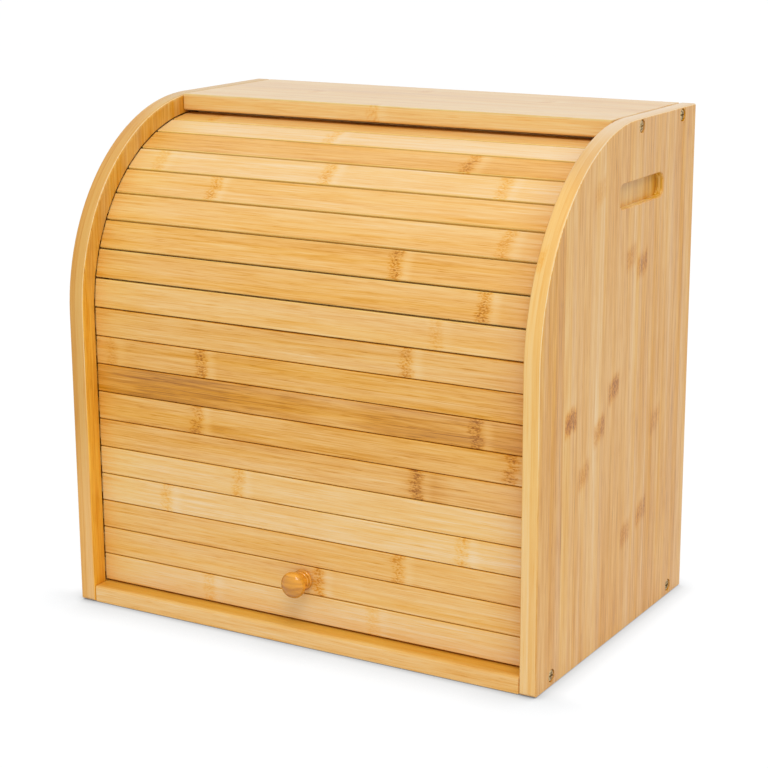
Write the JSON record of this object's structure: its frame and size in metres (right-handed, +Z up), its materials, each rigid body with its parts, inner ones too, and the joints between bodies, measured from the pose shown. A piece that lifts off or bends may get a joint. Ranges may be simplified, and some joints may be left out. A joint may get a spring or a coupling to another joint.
{
  "type": "roll-top bread box",
  "caption": "Bamboo roll-top bread box: a case with a curved top front, a slatted door that slides up in curved grooves, a turned knob, a shelf inside and finger pockets in the sides.",
  "frame": {"origin": "centre of the case's underside, midway between the side panels' front and rear edges", "axes": "+X to the right as seen from the front, +Z up, the door and its knob face -Y"},
  "size_m": [0.38, 0.2568, 0.368],
  "materials": {
    "bamboo_side": "satin",
    "bamboo_board": "satin",
    "bamboo_top": "satin",
    "bamboo_slat": "satin",
    "bamboo_dark_slat": "satin",
    "bamboo_pale_slat": "satin",
    "bamboo_inside": "matte",
    "varnished_wood": "gloss",
    "dark_brass": "satin",
    "canvas": "matte"
  },
  "bodies": {
    "case": {"side_panel_left": "bamboo_side", "side_panel_right": "bamboo_side", "top_board": "bamboo_top", "bottom_board": "bamboo_board", "back_panel": "bamboo_inside", "shelf": "bamboo_inside", "shelf_cleat_left": "bamboo_inside", "shelf_cleat_right": "bamboo_inside", "case_screw_left_top_front": "dark_brass", "case_screw_left_top_rear": "dark_brass", "case_screw_left_bottom_front": "dark_brass", "case_screw_left_bottom_rear": "dark_brass", "case_screw_right_top_front": "dark_brass", "case_screw_right_top_rear": "dark_brass", "case_screw_right_bottom_front": "dark_brass", "case_screw_right_bottom_rear": "dark_brass", "cleat_screw_left_front": "dark_brass", "cleat_screw_left_rear": "dark_brass", "cleat_screw_right_front": "dark_brass", "cleat_screw_right_rear": "dark_brass", "backing_cloth": "canvas"},
    "door_front": {"slat_01": "bamboo_slat", "slat_02": "bamboo_slat", "slat_03": "bamboo_slat", "slat_04": "bamboo_slat", "slat_05": "bamboo_slat", "knob": "varnished_wood", "knob_screw": "dark_brass"},
    "slat_06": {"slat_06": "bamboo_slat"},
    "slat_07": {"slat_07": "bamboo_slat"},
    "slat_08": {"slat_08": "bamboo_dark_slat"},
    "slat_09": {"slat_09": "bamboo_slat"},
    "slat_10": {"slat_10": "bamboo_slat"},
    "slat_11": {"slat_11": "bamboo_slat"},
    "slat_12": {"slat_12": "bamboo_slat"},
    "slat_13": {"slat_13": "bamboo_slat"},
    "slat_14": {"slat_14": "bamboo_slat"},
    "slat_15": {"slat_15": "bamboo_slat"},
    "slat_16": {"slat_16": "bamboo_slat"},
    "slat_17": {"slat_17": "bamboo_slat"},
    "slat_18": {"slat_18": "bamboo_pale_slat"},
    "slat_19": {"slat_19": "bamboo_slat"},
    "slat_20": {"slat_20": "bamboo_slat"}
  },
  "joints": [
    {"name": "door_slide", "type": "slide", "parent": "case", "child": "door_front", "axis": [0, 0, 1], "range_m": [0, 0.1], "deforming": ["backing_cloth"]},
    {"name": "slat_06_turn", "type": "hinge", "parent": "case", "child": "slat_06", "pos_m": [0, 1.30305, 0.17455], "axis": [-1, 0, 0], "range_deg": [0, 4.06]},
    {"name": "slat_07_turn", "type": "hinge", "parent": "case", "child": "slat_07", "pos_m": [0, 0.31858, 0.18505], "axis": [-1, 0, 0], "range_deg": [0, 13.44]},
    {"name": "slat_08_turn", "type": "hinge", "parent": "case", "child": "slat_08", "pos_m": [0, 0.14315, 0.19555], "axis": [-1, 0, 0], "range_deg": [0, 22.82]},
    {"name": "slat_09_turn", "type": "hinge", "parent": "case", "child": "slat_09", "pos_m": [0, 0.07033, 0.20605], "axis": [-1, 0, 0], "range_deg": [0, 32.2]},
    {"name": "slat_10_turn", "type": "hinge", "parent": "case", "child": "slat_10", "pos_m": [0, 0.03109, 0.21655], "axis": [-1, 0, 0], "range_deg": [0, 41.58]},
    {"name": "slat_11_turn", "type": "hinge", "parent": "case", "child": "slat_11", "pos_m": [0, 0.022, 0.22], "axis": [-1, 0, 0], "range_deg": [0, 44.66]},
    {"name": "slat_12_turn", "type": "hinge", "parent": "case", "child": "slat_12", "pos_m": [0, 0.022, 0.22], "axis": [-1, 0, 0], "range_deg": [0, 44.66]},
    {"name": "slat_13_turn", "type": "hinge", "parent": "case", "child": "slat_13", "pos_m": [0, 0.022, 0.22], "axis": [-1, 0, 0], "range_deg": [0, 44.66]},
    {"name": "slat_14_turn", "type": "hinge", "parent": "case", "child": "slat_14", "pos_m": [0, 0.022, 0.22], "axis": [-1, 0, 0], "range_deg": [0, 44.66]},
    {"name": "slat_15_turn", "type": "hinge", "parent": "case", "child": "slat_15", "pos_m": [0, 0.022, 0.22], "axis": [-1, 0, 0], "range_deg": [0, 44.66]},
    {"name": "slat_16_turn", "type": "hinge", "parent": "case", "child": "slat_16", "pos_m": [0, 0.0189, 0.22932], "axis": [-1, 0, 0], "range_deg": [0, 48.25]},
    {"name": "slat_17_turn", "type": "hinge", "parent": "case", "child": "slat_17", "pos_m": [0, 0.01731, 0.23923], "axis": [-1, 0, 0], "range_deg": [0, 52.55]},
    {"name": "slat_18_turn", "type": "hinge", "parent": "case", "child": "slat_18", "pos_m": [0, 0.01759, 0.24777], "axis": [-1, 0, 0], "range_deg": [0, 56.84]},
    {"name": "slat_19_turn", "type": "hinge", "parent": "case", "child": "slat_19", "pos_m": [0, 0.01935, 0.25492], "axis": [-1, 0, 0], "range_deg": [0, 61.13]},
    {"name": "slat_20_turn", "type": "hinge", "parent": "case", "child": "slat_20", "pos_m": [0, 0.022, 0.2603], "axis": [-1, 0, 0], "range_deg": [0, 65.11]}
  ],
  "couplings": [
    {"joint": "slat_06_turn", "follows": "door_slide", "rad_per_m": 0.70927},
    {"joint": "slat_07_turn", "follows": "door_slide", "rad_per_m": 2.3461},
    {"joint": "slat_08_turn", "follows": "door_slide", "rad_per_m": 3.9829},
    {"joint": "slat_09_turn", "follows": "door_slide", "rad_per_m": 5.6196},
    {"joint": "slat_10_turn", "follows": "door_slide", "rad_per_m": 7.2564},
    {"joint": "slat_11_turn", "follows": "door_slide", "rad_per_m": 7.7942},
    {"joint": "slat_12_turn", "follows": "door_slide", "rad_per_m": 7.7942},
    {"joint": "slat_13_turn", "follows": "door_slide", "rad_per_m": 7.7942},
    {"joint": "slat_14_turn", "follows": "door_slide", "rad_per_m": 7.7942},
    {"joint": "slat_15_turn", "follows": "door_slide", "rad_per_m": 7.7942},
    {"joint": "slat_16_turn", "follows": "door_slide", "rad_per_m": 8.4213},
    {"joint": "slat_17_turn", "follows": "door_slide", "rad_per_m": 9.1708},
    {"joint": "slat_18_turn", "follows": "door_slide", "rad_per_m": 9.9204},
    {"joint": "slat_19_turn", "follows": "door_slide", "rad_per_m": 10.67},
    {"joint": "slat_20_turn", "follows": "door_slide", "rad_per_m": 11.364}
  ]
}
